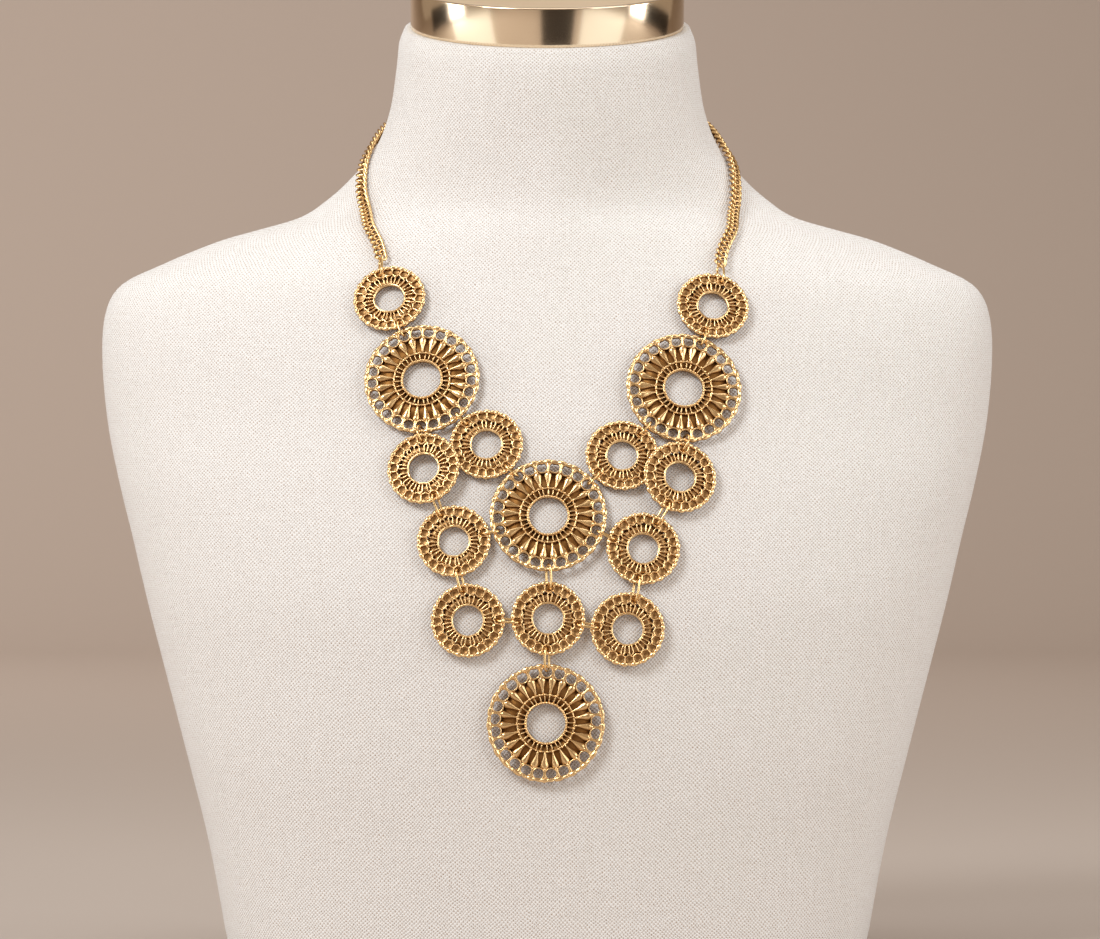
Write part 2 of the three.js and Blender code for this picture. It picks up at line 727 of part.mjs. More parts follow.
function claspMeshes(left, right) {
  const mouthLength = CLASP_LENGTH - 3 * CLASP_WALL - 2 * CLASP_EYE;
  const mouthAt = CLASP_LENGTH / 2 - CLASP_WALL - mouthLength / 2;
  const eyeAt = CLASP_EYE + CLASP_WALL - CLASP_LENGTH / 2;
  const mouth = stadium(mouthLength, CLASP_WIDTH - 2 * CLASP_WALL, CLASP_HOLE_STEPS)
    .map(point => point.add(new THREE.Vector2(mouthAt, 0)));
  const body = plate(
    stadium(CLASP_LENGTH, CLASP_WIDTH, CLASP_END_STEPS),
    [circlePath(eyeAt, 0, CLASP_EYE, CLASP_EYE_SIDES), mouth],
    CLASP_THICKNESS,
    -CLASP_THICKNESS / 2,
  );
  const clasp = piece('clasp', fromSolid(body), GOLD);
  const along = right.napeLink.clone().sub(left.napeLink).normalize();
  const out = left.nape.normal.clone().add(right.nape.normal).normalize();
  const upward = new THREE.Vector3().crossVectors(out, along).normalize();
  const normal = new THREE.Vector3().crossVectors(along, upward);
  const height = BUST_HEIGHT * NAPE_HEIGHT_SHARE;
  clasp.position.copy(bustPoint(height, Math.PI))
    .addScaledVector(bustNormal(height, Math.PI), CHAIN_WIDTH / 2 + CHAIN_CLEARANCE);
  clasp.quaternion.setFromRotationMatrix(new THREE.Matrix4().makeBasis(along, upward, normal));
  const pass = way => clasp.position.clone().addScaledVector(along, way * CLASP_PASS);
  return [
    clasp,
    ovalRing('ring_clasp', left.napeLink, pass(-1), CLASP_THICKNESS, normal, 0),
    ovalRing('ring_end', right.napeLink, pass(1), CLASP_THICKNESS, normal, 0),
  ];
}

layOut();
for (const disc of discs.values()) {
  setAxes(disc);
  disc.ringCells = new Set();
}
for (const disc of discs.values()) {
  if (disc.over) liftLapped(disc, discs.get(disc.over));
}
for (const disc of discs.values()) {
  setPhase(disc, LINKS.filter(link => [link.from, link.to].includes(disc.name))
    .map(link => discs.get(link.from === disc.name ? link.to : link.from)));
}

const group = new THREE.Group();
const rings = LINKS.map(jumpRing);
const left = chainAssembly('left', -1);
const right = chainAssembly('right', 1);
group.add(neckBust(), bustCap());
group.add(...[...discs.values()].map(discMesh));
group.add(...rings, ...left.meshes, ...right.meshes, ...claspMeshes(left, right));

export default group;
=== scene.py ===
"""Looks of the bib necklace on its neck bust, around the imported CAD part.

Metres, +Z up, front towards -Y. Places and sizes come from the CAD nodes.
"""

import math

import bpy
import numpy as np
from mathutils import Matrix, Vector


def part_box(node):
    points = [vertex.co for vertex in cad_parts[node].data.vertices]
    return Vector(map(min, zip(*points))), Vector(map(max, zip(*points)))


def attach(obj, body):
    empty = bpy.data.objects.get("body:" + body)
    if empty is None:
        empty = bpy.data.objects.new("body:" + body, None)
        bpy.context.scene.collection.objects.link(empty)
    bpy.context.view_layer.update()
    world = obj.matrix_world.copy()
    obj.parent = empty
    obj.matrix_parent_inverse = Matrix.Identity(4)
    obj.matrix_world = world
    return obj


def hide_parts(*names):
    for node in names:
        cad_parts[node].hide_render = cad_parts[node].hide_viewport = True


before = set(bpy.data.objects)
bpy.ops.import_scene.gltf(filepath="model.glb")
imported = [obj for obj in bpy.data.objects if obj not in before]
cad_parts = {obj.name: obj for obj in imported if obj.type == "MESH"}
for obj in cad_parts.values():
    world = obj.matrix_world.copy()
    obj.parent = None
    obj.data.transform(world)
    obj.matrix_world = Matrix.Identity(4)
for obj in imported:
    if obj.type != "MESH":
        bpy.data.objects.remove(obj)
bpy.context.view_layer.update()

MM = 0.001
UP = np.array([0.0, 0.0, 1.0])

# How near to a flat end of the CAD part a corner counts as on it
ON_FACE = 0.01 * MM
ON_END = 0.05 * MM

# Points round a rounded edge
ARC_STEPS = 5

# Bust: the cover's steps to each column and row of the CAD bust, the rounded hem round its base,
# and how far from the edge the cloth's rings on the underside and on the neck's top lie
COVER_COLUMNS = 5
COVER_ROWS = 4
BASE_HUB = 20 * MM
HEM_RADIUS = 2.5 * MM
HEM_CLEAR = 1.5
UNDER_INSETS = (60 * MM, 12 * MM)
TOP_INSETS = (1.5 * MM, 4 * MM, 12 * MM, 40 * MM)
SEAM_SHIFT = 0.01

# Linen: the width of a thread, how far threads wander, their relief, and the colours from the
# low crossings' painted shade to the brightest threads
THREAD = 0.75 * MM
THREAD_DRIFT = 2.4 * THREAD
DRIFT_SCALE = 150.0
UNEVEN_SCALE = 700.0
SLUB_SCALES = (900, 60)
THREAD_RELIEF = 0.25 * MM
LINEN_COLOURS = (
    (0.05, (0.40, 0.29, 0.22)), (0.50, (0.716, 0.65, 0.60)), (0.95, (0.87, 0.855, 0.84)),
)

# Golds: painted shade in the hollows, the metal's colour on top, and roughness
CAST_GOLD = ((0.27, 0.125, 0.036), (0.96, 0.66, 0.33), 0.17)
RING_GOLD = ((0.6, 0.36, 0.12), (0.93, 0.64, 0.30), 0.14)
LINK_GOLD = ((0.24, 0.11, 0.03), (0.92, 0.62, 0.29), 0.16)
# Where along the depth the painted shade, the colour between and the metal's colour lie
GOLD_STOPS = (0.12, 0.60, 0.90)
CLOUD_SCALE = 140.0
CLOUD_TINT = 0.35
GRAIN_SCALE = 1500.0
GRAIN_RELIEF = 0.01 * MM
GRAIN_DULLS = 0.12
HAMMER_SCALE = 380.0
HAMMER_RELIEF = 0.10 * MM
HOLLOW_DULLS = 0.36
HEIGHT_CLEARS = -0.4

# Brass: fine lines round the band and a satin top
BRASS_COLOURS = ((0.3, (0.86, 0.69, 0.49)), (0.7, (0.92, 0.76, 0.56)))
BRASS_CLOUD_SCALE = 25.0
LINES_STRETCH = (3, 3, 2500)
LINES_RELIEF = 0.01 * MM
BRASS_ROUGHNESS = 0.09
LINES_DULL = 0.10
SATIN_DULLS = 0.36

# Cap: how far it sinks into the neck, its edges, and how far from the edge its flat rings lie
CAP_SIDES = 160
CAP_HUB = 10 * MM
CAP_SEAT = 0.3 * MM
CAP_ROUND = 0.5 * MM
CAP_UNDER_INSET = 3 * MM
CAP_TOP_INSETS = (0.8 * MM, 2 * MM, 20 * MM, 45 * MM)
CAP_SATIN_RINGS = 3
FACES_UP = 0.9

# Discs: wider than this is large, and each is turned some cells further than the one before
LARGE_DISC = 35 * MM
LARGE_CELLS = 25
SMALL_CELLS = 22
CELL_STRIDE = 7
DISC_THICKNESS = 1.6 * MM
DISC_BOTTOM = -DISC_THICKNESS / 2
FLOOR_THICKNESS = 0.35 * MM
FLOOR_STEPS = 96

# The gentle waves of a casting: their lengths in mm, how far they push, how near the rim they
# end, and the height in disc thicknesses over which the depth that paints shade goes from 0 to 1
CAST_SEED = 7
CAST_WAVES = 14
CAST_WAVE = 0.05 * MM
CAST_PHASES = 6.28
CAST_WAVE_LENGTHS = (2.5, 7)
CAST_EDGE = 0.5 * MM
CAST_DEPTH = 1.05

# Across a cast wall: the share of its half width, and the drop from its top in half widths,
# with None for the disc's underside
WALL_SECTION = (
    (-0.9, None), (-1, 1.0), (-0.72, 0.35), (0, 0), (0.72, 0.35), (1, 1.0), (0.9, None),
)

# Across the hollow floor of a cell, ring by ring: whether it is squared, its share of the reach,
# and its height in disc thicknesses
DISH_SECTION = ((True, 1.0, -0.5), (True, 1.0, -0.1), (False, 0.62, -0.3), (False, 0.3, -0.4))
DISH_SIDES = 16
DISH_SQUARE = 0.75

# The part of a CAD disc's rim that sets its middle, step by step, and the part that sets its
# turn, in shares of its widest reach
RIM_SHARES = (0.955, 0.986, 0.986)
RIM_TIPS = 0.99
NO_AREA = 1e-12

# A nugget's sides and rings, those of a bead, and how near its end rings come to its ends
NUGGET_SHAPE = (8, 4)
BEAD_SHAPE = (7, 3)
NUGGET_END = 0.97

# Large disc, from the hub out. Tops, heights and rises are in mm. Places, widths, sizes, depths
# and reaches are shares of the radius. Sways are shares of a step round the disc.
LARGE_SEED = 11
# Lift: raises the depth, and so lightens the painted shade of the low parts, in disc thicknesses
LARGE_LIFT = 0.42
LARGE_SIZES = (0.88, 1.12)
LARGE_SWAY = 0.03
LARGE_HUB = dict(place=0.348, width=0.044, top=0.75, steps=96)
LARGE_BEADS = dict(count=46, place=0.345, size=(0.017, 0.021), height=0.78)
LARGE_FLOOR = (0.340, 0.775)
SPOKES = dict(count=32, places=(0.36, 0.40, 0.44, 0.487), width=(0.022, 0.030), top=0.62, sway=0.1)
SPOKE_ENDS = dict(place=0.488, size=(0.019, 0.025), height=0.72)
SPOKE_RING = dict(place=0.486, width=0.030, top=0.72, steps=160, wave=0.008)
PETAL_PLACES = np.array([0.488, 0.53, 0.565, 0.600, 0.640, 0.68, 0.715, 0.745, 0.766, 0.782])
PETAL_WIDTHS = np.array([0.032, 0.036, 0.046, 0.068, 0.102, 0.134, 0.156, 0.164, 0.128, 0.050])
PETAL_TOPS = np.array([0.72, 0.75, 0.80, 0.86, 0.93, 1.00, 1.05, 1.03, 0.93, 0.80])
PETAL_TOP_SWAY = 0.04
LARGE_POST_TOP = 0.85
LARGE_POST_PLACES = np.array([0.775, 0.80, 0.83, 0.86, 0.89, 0.915, 0.94, 0.96])
LARGE_POST_WIDTHS = np.array([0.050, 0.040, 0.034, 0.034, 0.044, 0.064, 0.088, 0.096])
HOLE = dict(place=0.866, reach=0.0960, half_width=0.0990, width=(0.020, 0.027), top=0.80, steps=22)
LARGE_KNOBS = dict(place=0.968, height=0.32, depth=0.046, width=(0.085, 0.110), rise=0.72)
LARGE_BUMPS = dict(place=0.972, height=0.50, depth=0.028, width=(0.060, 0.090), rise=0.50)
LARGE_RIM = dict(place=0.966, width=0.056, top=0.84, steps=200, wave=0.008)

# Small disc, in the same terms. A loop's half turn is a share of half a step.
SMALL_SEED = 23
# Lift: raises the depth, and so lightens the painted shade of the low parts, in disc thicknesses
SMALL_LIFT = 0.66
SMALL_SIZES = (0.85, 1.15)
SMALL_SWAY = 0.04
SMALL_POST_TOP = 0.8
SMALL_HUB = dict(place=0.428, width=0.056, top=0.8, steps=84)
SMALL_FLOOR = (0.41, 0.70)
LOOPS = dict(count=16, half_turn=(0.40, 0.54), width=(0.034, 0.044), top=0.80, sway=0.06)
LOOP_SIDE = ((0.43, 0.8), (0.50, 0.86), (0.57, 0.95), (0.63, 1.0), (0.668, 0.82), (0.686, 0.42))
LOOP_TIP = (0.691, 0)
ZIGZAG = dict(places=(0.694, 0.748), width=0.044, top=0.74, steps=3)
SMALL_POST_PLACES = np.array([0.745, 0.78, 0.82, 0.86, 0.89, 0.92])
SMALL_POST_WIDTHS = np.array([0.042, 0.036, 0.038, 0.048, 0.072, 0.096])
CELL_DISH = dict(place=0.815, reach=0.114)
SMALL_KNOBS = dict(place=0.945, height=0.42, depth=0.066, width=(0.090, 0.115), rise=0.70)
SMALL_BUMPS = dict(place=0.950, height=0.58, depth=0.042, width=(0.050, 0.080), rise=0.40)
ZIGZAG_BEADS = dict(place=0.748, size=0.028, height=0.66)
SMALL_RIM = dict(place=0.944, width=0.062, top=0.78, steps=176, wave=0.016)

# How far past a post the bump beside it lies, in shares of a cell
BUMP_SHIFTS = (0.35, 0.65)

# How far the corners of a CAD ring's many-sided wire reach, in shares of its radius
CAD_WIRE_REACH = math.sin(math.radians(72))

# Rings: steps along the wire, sides round it, and how soon a bend gives way to a straight side
RING_STEPS = 44
RING_SIDES = 10
STRAIGHT_SHARPNESS = 3

# Links: steps along the wire, sides round it, the wire, and the link's own sizes
LINK_STEPS = 16
LINK_SIDES = 6
LINK_WIRE = 1.2 * MM
LINK_SLACK = 0.03 * MM
LINK_WIDTH = 5.2 * MM
LINK_LENGTH = 5.8 * MM
LINK_TWIST = 0.9 * MM
LINK_SQUARE = 0.8
# Depth beneath a wire and beside the link's hole, which paints shade there
LINK_SHADED_DEPTH = 0.08

# Chains: how far they settle towards the cloth, over what length from each end, how far the end
# links reach past their rings, and over how many points the route and its outward way are evened
CHAIN_SINK = 0.3 * MM
SINK_RUN = 14 * MM
END_GAP = 0.45 * MM
ROUTE_STEPS = 24
ROUTE_REACH = 34
OUTWARD_REACH = 36
OUTWARD_CORNERS = 8

# The CAD chain's sections: the longest edge within one, and its sides
TUBE_EDGE = 2.4 * MM
TUBE_SIDES = 8

# Clasp
CLASP_ROUND = 0.25 * MM
CLASP_ROUND_STEPS = 3

# Camera
CAMERA_PLACE = (1.1 * MM, -2.075, 0.1888)
CAMERA_LENS = 174.55
CAMERA_SENSOR = 36

# Backdrop, from its front edge to the sweep at the foot of its wall
STAGE_FRONT = -5.0
STAGE_MIDDLE = -1.0
SWEEP_START = 3.4
SWEEP_RADIUS = 1.0
SWEEP_STEPS = 16
WALL_HEIGHT = 5.0
STAGE_HALF_WIDTH = 6.0
STAGE_COLOUR = (0.50, 0.425, 0.372, 1.0)
STAGE_ROUGHNESS = 0.8

# Studio cards: degrees from the front, then the distance and height of each edge
FLAT_CARD = ((0.5, 0.001), (3.4, 0.001))
UPRIGHT_CARD = ((2.2, 0.0), (2.2, 0.32))
CARD_STEPS = 8
CARD_ROUGHNESS = 0.9
DARK = (0.012, 0.006, 0.003, 1.0)
PALE = (0.95, 0.95, 0.93, 1.0)
CARDS = (
    ("dark_left", -110, -89, UPRIGHT_CARD, DARK),
    ("dark_front", -5, 22, FLAT_CARD, DARK),
    ("dark_right", 89, 120, UPRIGHT_CARD, DARK),
    ("pale_left", -84, -46, FLAT_CARD, PALE),
    ("pale_right", 28, 66, FLAT_CARD, PALE),
)

# Lamps: place, what they point at, size, power in watts and colour
BUST_MIDDLE = (0.0, 0.0, 0.2)
DAYLIGHT = (0.92, 0.97, 1.0)
LAMPS = (
    ("key", (-1.15, -1.35, 1.65), BUST_MIDDLE, (0.8, 0.8), 30, DAYLIGHT),
    ("fill", (1.5, -1.3, 1.0), BUST_MIDDLE, (1.1, 1.2), 12, DAYLIGHT),
    ("top", (0.0, 0.2, 2.0), BUST_MIDDLE, (1.2, 1.0), 10, DAYLIGHT),
    ("left", (-1.65, -0.35, 0.65), BUST_MIDDLE, (0.5, 1.2), 8, DAYLIGHT),
    ("right", (1.65, -0.35, 0.65), BUST_MIDDLE, (0.5, 1.2), 8, DAYLIGHT),
    ("wall", (-1.2, 2.2, 2.4), (-0.8, 4.2, 0.5), (2.5, 0.6), 40, (1.0, 0.95, 0.92)),
)
WORLD_COLOUR = (1.0, 0.80, 0.62, 1.0)
WORLD_STRENGTH = 0.36


# Meshes


class Form:
    """Points and faces of many closed forms, gathered into one mesh."""

    def __init__(self):
        self.points = []
        self.faces = []
        self.count = 0

    def add(self, points, faces):
        self.points.append(points)
        self.faces.extend((np.asarray(face) + self.count).tolist() for face in faces)
        self.count += len(points)

    def grid(self, rows, joined=False):
        """A sleeve through rows of points, each row going round once.

        Its first and last rows are joined to each other, or each gets a flat end.
        """
        count, sides = rows.shape[:2]
        index = np.arange(count * sides).reshape(count, sides)
        if joined:
            index = np.vstack([index, index[:1]])
        after = np.roll(index, -1, axis=1)
        quads = np.stack([index[:-1], after[:-1], after[1:], index[1:]], axis=-1).reshape(-1, 4)
        faces = list(quads)
        if not joined:
            faces += [index[0][::-1], index[-1]]
        self.add(rows.reshape(-1, 3), faces)

    def mesh(self, name, attributes=()):
        """A smooth mesh of all the forms, with a number for each point in each attribute."""
        mesh = bpy.data.meshes.new(name)
        mesh.from_pydata(np.vstack(self.points).tolist(), [], self.faces)
        mesh.polygons.foreach_set("use_smooth", np.ones(len(mesh.polygons), bool))
        for label, values in attributes:
            mesh.attributes.new(label, "FLOAT", "POINT").data.foreach_set("value", values)
        mesh.update()
        return mesh


def linked(name, data):
    """A new object in the scene."""
    made = bpy.data.objects.new(name, data)
    bpy.context.scene.collection.objects.link(made)
    return made


def show(name, mesh, material, slot, *stands_for, place=None):
    """Puts a mesh in the scene as a piece that rides on the one CAD body."""
    piece = linked(name, mesh)
    if not mesh.materials:
        mesh.materials.append(material)
    if place is not None:
        piece.matrix_world = place
    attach(piece, "root")
    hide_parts(*stands_for)


def welded(node):
    """The corners of a CAD node, each once, and its faces as triples of them."""
    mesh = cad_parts[node].data
    mesh.calc_loop_triangles()
    points = np.array([v.co[:] for v in mesh.vertices])
    faces = np.array([t.vertices[:] for t in mesh.loop_triangles])
    _, first, back = np.unique(points.round(7), axis=0, return_index=True, return_inverse=True)
    return points[first], back.reshape(-1)[faces]


def through(points, fine, closed=False):
    """Points on a smooth line through the given ones, with fine steps to each stretch."""
    if closed:
        points = np.concatenate([points[-1:], points, points[:2]])
    steps = np.linalg.norm(np.diff(points, axis=0), axis=-1)
    knots = np.concatenate([[0], np.cumsum(steps.reshape(len(steps), -1).mean(axis=1))])
    shape = (-1,) + (1,) * (points.ndim - 1)
    slopes = np.empty_like(points)
    slopes[1:-1] = (points[2:] - points[:-2]) / (knots[2:] - knots[:-2]).reshape(shape)
    slopes[0] = (points[1] - points[0]) / (knots[1] - knots[0])
    slopes[-1] = (points[-1] - points[-2]) / (knots[-1] - knots[-2])
    found = []
    first, last = (1, len(points) - 2) if closed else (0, len(points) - 1)
    for i in range(first, last):
        span = knots[i + 1] - knots[i]
        t = (np.arange(fine) / fine).reshape(shape)
        found.append(
            points[i] * (2 * t**3 - 3 * t**2 + 1)
            + points[i + 1] * (3 * t**2 - 2 * t**3)
            + slopes[i] * span * (t**3 - 2 * t**2 + t)
            + slopes[i + 1] * span * (t**3 - t**2)
        )
    if not closed:
        found.append(points[-1:])
    return np.concatenate(found)


def unit(vector):
    """A vector, or each of several, at length 1."""
    return vector / np.linalg.norm(vector, axis=-1, keepdims=True)


def wire(form, path, flat, radius, sides):
    """A round closed wire along a closed path. flat: the normal of the path's plane."""
    along = unit(np.roll(path, -1, axis=0) - np.roll(path, 1, axis=0))
    across = unit(np.cross(flat, along))
    rise = np.cross(along, across)
    turn = np.arange(sides) * 2 * math.pi / sides
    rows = (
        path[:, None]
        + radius * np.cos(turn)[None, :, None] * across[:, None]
        + radius * np.sin(turn)[None, :, None] * rise[:, None]
    )
    form.grid(rows, joined=True)


# Materials


class Paint:
    """A node material, with short ways to add its nodes."""

    def __init__(self, name, metallic=0.0, roughness=0.5):
        self.material = bpy.data.materials.new(name)
        self.material.use_nodes = True
        self.tree = self.material.node_tree
        self.shader = self.tree.nodes["Principled BSDF"]
        self.shader.inputs["Metallic"].default_value = metallic
        self.shader.inputs["Roughness"].default_value = roughness

    def node(self, kind, **inputs):
        """A node with some of its inputs set or linked. An underscore stands for a space."""
        made = self.tree.nodes.new(kind)
        for label, value in inputs.items():
            self.give(made, label.replace("_", " "), value)
        return made

    def give(self, node, label, value):
        socket = node.inputs[label]
        if isinstance(value, bpy.types.NodeSocket):
            self.tree.links.new(value, socket)
        else:
            socket.default_value = value

    def sum(self, operation, *values):
        """A sum of numbers or of other nodes' outputs."""
        made = self.tree.nodes.new("ShaderNodeMath")
        made.operation = operation
        for i, value in enumerate(values):
            self.give(made, i, value)
        return made.outputs[0]

    def noise(self, vector, scale, detail=2.0, rough=0.5):
        made = self.node(
            "ShaderNodeTexNoise", Vector=vector, Scale=scale, Detail=detail, Roughness=rough
        )
        return made.outputs["Fac"]

    def ramp(self, factor, *stops):
        """Colours by a factor, each stop a place and a colour."""
        made = self.node("ShaderNodeValToRGB", Fac=factor)
        elements = made.color_ramp.elements
        while len(elements) < len(stops):
            elements.new(0.5)
        for element, (place, colour) in zip(elements, stops):
            element.position = place
            element.color = (*colour, 1.0)
        return made.outputs["Color"]

    def place(self):
        return self.node("ShaderNodeTexCoord").outputs["Object"]

    def stretched(self, vector, *scale):
        return self.node("ShaderNodeMapping", Vector=vector, Scale=scale).outputs["Vector"]

    def bump(self, height, distance, strength=1.0, under=None):
        made = self.node("ShaderNodeBump", Height=height, Distance=distance, Strength=strength)
        if under:
            self.give(made, "Normal", under)
        return made.outputs["Normal"]

    def finish(self, **inputs):
        """Sets or links the shader's own inputs and returns the material."""
        for label, value in inputs.items():
            self.give(self.shader, label.replace("_", " "), value)
        return self.material


def linen_material():
    """Plain-weave linen: warp and weft lie on top in turn, with a dark spot of painted shade at each
    low crossing.
    """
    paint = Paint("linen")
    cloth = paint.node("ShaderNodeUVMap").outputs["UV"]
    drift = paint.node("ShaderNodeTexNoise", Vector=cloth, Scale=DRIFT_SCALE, Detail=2.0)
    offset = paint.node("ShaderNodeVectorMath")
    offset.operation = "MULTIPLY_ADD"
    paint.give(offset, 0, drift.outputs["Color"])
    offset.inputs[1].default_value = (THREAD_DRIFT,) * 3
    paint.give(offset, 2, cloth)
    parts = paint.node("ShaderNodeSeparateXYZ", Vector=offset.outputs["Vector"])
    u = paint.sum("SINE", paint.sum("MULTIPLY", parts.outputs["X"], math.pi / THREAD))
    v = paint.sum("SINE", paint.sum("MULTIPLY", parts.outputs["Y"], math.pi / THREAD))
    crossing = paint.sum("MULTIPLY", u, v)
    uneven = paint.sum("MULTIPLY_ADD", paint.noise(cloth, UNEVEN_SCALE, 1.0), 1.6, 0.1)
    # Painted shade: a dark spot at each low crossing of the weave, uneven from spot to spot
    crossing_shade = paint.sum("MULTIPLY", paint.sum("MAXIMUM", crossing, 0.0), uneven)
    slubs_up = paint.noise(paint.stretched(cloth, *SLUB_SCALES, 1), 1.0, 2.0)
    slubs_across = paint.noise(paint.stretched(cloth, *SLUB_SCALES[::-1], 1), 1.0, 2.0)
    slubs = paint.sum("MULTIPLY_ADD", slubs_up, 0.5, paint.sum("MULTIPLY", slubs_across, 0.5))
    thread = paint.sum("MULTIPLY_ADD", slubs, 0.30, 0.74)
    # The threads' tone, which varies at random, darkened by the painted shade of the low crossings
    tone = paint.sum("MULTIPLY_ADD", crossing_shade, -0.80, thread)
    relief = paint.sum("MULTIPLY_ADD", slubs, 0.5, paint.sum("MULTIPLY", crossing, -0.5))
    return paint.finish(
        Base_Color=paint.ramp(tone, *LINEN_COLOURS),
        Roughness=0.9,
        Sheen_Weight=0.2,
        Sheen_Roughness=0.5,
        Normal=paint.bump(relief, THREAD_RELIEF, 1.0),
    )


def gold_material(name, hollow, lit, rough):
    """Gold-tone metal. The attribute depth, 0 in the hollows and 1 on top, sets its colour: painted
    shade in the hollows, the metal's colour on top.
    """
    paint = Paint(name, metallic=1.0)
    depth = paint.node("ShaderNodeAttribute")
    depth.attribute_name = "depth"
    place = paint.place()
    height = depth.outputs["Fac"]
    cloud = paint.noise(place, CLOUD_SCALE, 3.0)
    grain = paint.noise(place, GRAIN_SCALE, 3.0, 0.6)
    hammer = paint.noise(place, HAMMER_SCALE, 2.0)
    # Painted shade: the colour darkens with the depth towards the hollows, with random cloudy tone
    # over it
    shade_and_tone = paint.sum("MULTIPLY_ADD", paint.sum("SUBTRACT", cloud, 0.5), CLOUD_TINT, height)
    middle = tuple((a + b) / 2 for a, b in zip(hollow, lit))
    dull = paint.sum("MULTIPLY_ADD", height, HEIGHT_CLEARS, HOLLOW_DULLS)
    rougher = paint.sum("MULTIPLY_ADD", grain, GRAIN_DULLS, rough)
    return paint.finish(
        Base_Color=paint.ramp(shade_and_tone, *zip(GOLD_STOPS, (hollow, middle, lit))),
        Roughness=paint.sum("ADD", rougher, paint.sum("MAXIMUM", dull, 0.0)),
        Normal=paint.bump(grain, GRAIN_RELIEF, 0.4, paint.bump(hammer, HAMMER_RELIEF, 0.5)),
    )


def brass_material():
    """Polished brass with fine lines round the band. The attribute satin is 1 on the flat top."""
    paint = Paint("cap_brass", metallic=1.0)
    satin = paint.node("ShaderNodeAttribute")
    satin.attribute_name = "satin"
    place = paint.place()
    lines = paint.noise(paint.stretched(place, *LINES_STRETCH), 1.0, 3.0)
    cloud = paint.noise(place, BRASS_CLOUD_SCALE, 3.0)
    rough = paint.sum("MULTIPLY_ADD", lines, LINES_DULL, BRASS_ROUGHNESS)
    return paint.finish(
        Base_Color=paint.ramp(cloud, *BRASS_COLOURS),
        Roughness=paint.sum("MULTIPLY_ADD", satin.outputs["Fac"], SATIN_DULLS, rough),
        Normal=paint.bump(lines, LINES_RELIEF, 0.15),
    )


LINEN = linen_material()
GOLD = gold_material("gold", *CAST_GOLD)
WIRE_GOLD = gold_material("ring_gold", *RING_GOLD)
CHAIN_GOLD = gold_material("chain_gold", *LINK_GOLD)
BRASS = brass_material()


# Bust


def bust_rings():
    """The rings of the CAD bust from the base up, each from the front and round by +X."""
    points, faces = welded("neck_bust")
    near = {}
    for a, b, c in faces:
        for one, other in ((a, b), (b, c), (c, a)):
            near.setdefault(one, set()).add(other)
            near.setdefault(other, set()).add(one)
    flat = {i for i, p in enumerate(points) if p[2] < ON_FACE}
    ring = {i for i in flat if math.hypot(points[i][0], points[i][1]) > BASE_HUB}
    seen, rings = flat | ring, []
    while len(ring) > 2:
        corners = points[sorted(ring)]
        away = corners - corners.mean(axis=0)
        angle = np.arctan2(away[:, 0], -away[:, 1])
        rings.append(corners[np.argsort((angle + SEAM_SHIFT) % (2 * math.pi))])
        ring = set().union(*(near[i] for i in ring)) - seen
        seen |= ring
    return np.array(rings)


def inset(ring, distance):
    """A ring moved towards its middle."""
    middle = ring.mean(axis=0)
    away = ring - middle
    return middle + away * (1 - distance / np.linalg.norm(away, axis=1, keepdims=True))


def cloth_lengths(rows, loops):
    """Lengths over the cloth, round from the front with a seam behind, and up from the base.

    Up, the middles of the front and the back set them, and the sides go smoothly between.
    """
    girth = np.linalg.norm(np.roll(rows, -1, axis=1) - rows, axis=2)
    u = np.concatenate([np.zeros((len(rows), 1)), np.cumsum(girth, axis=1)], axis=1)
    rise = np.linalg.norm(np.diff(rows, axis=0), axis=2)
    v = np.concatenate([np.zeros((1, rows.shape[1])), np.cumsum(rise, axis=0)])
    columns = rows.shape[1]
    back = (1 - np.cos(np.arange(columns + 1) * 2 * math.pi / columns)) / 2
    v = np.outer(v[:, 0], 1 - back) + np.outer(v[:, columns // 2], back)
    behind = np.where(np.arange(rows.shape[1]) >= rows.shape[1] // 2, 1.0, 0.0) * u[:, -1:]
    uv = np.zeros((len(rows) - 1, rows.shape[1], 4, 2), np.float32)
    for corner, (low, left) in enumerate([(0, 0), (0, 1), (1, 1), (1, 0)]):
        rows_at = slice(low, len(rows) - 1 + low)
        columns_at = slice(left, rows.shape[1] + left)
        uv[:, :, corner, 0] = u[rows_at, columns_at] - behind[rows_at]
        uv[:, :, corner, 1] = v[rows_at, columns_at]
    spare = np.zeros(2 * loops - uv.size, np.float32)
    return np.concatenate([uv.ravel(), spare])


def bust_cover():
    """The cloth over the CAD bust, from its underside round the hem and up to the neck's top."""
    across = through(bust_rings().transpose(1, 0, 2), COVER_COLUMNS, closed=True)
    rows = through(across.transpose(1, 0, 2), COVER_ROWS)
    low, top = rows[0], rows[-1]
    hem = [
        inset(low + UP * HEM_RADIUS * (1 - math.cos(t)), HEM_RADIUS * (1 - math.sin(t)))
        for t in np.linspace(0, math.pi / 2, ARC_STEPS)
    ]
    first = int(np.argmax(rows[:, :, 2].min(axis=1) > HEM_CLEAR * HEM_RADIUS))
    rows = np.concatenate([
        [inset(low, distance) for distance in UNDER_INSETS],
        hem,
        rows[first:],
        [inset(top, distance) for distance in TOP_INSETS],
    ])
    form = Form()
    form.grid(rows)
    mesh = form.mesh("bust_cover")
    mesh.uv_layers.new(name="cloth").data.foreach_set("uv", cloth_lengths(rows, len(mesh.loops)))
    show("bust_cover", mesh, LINEN, "linen", "neck_bust")
    return rows


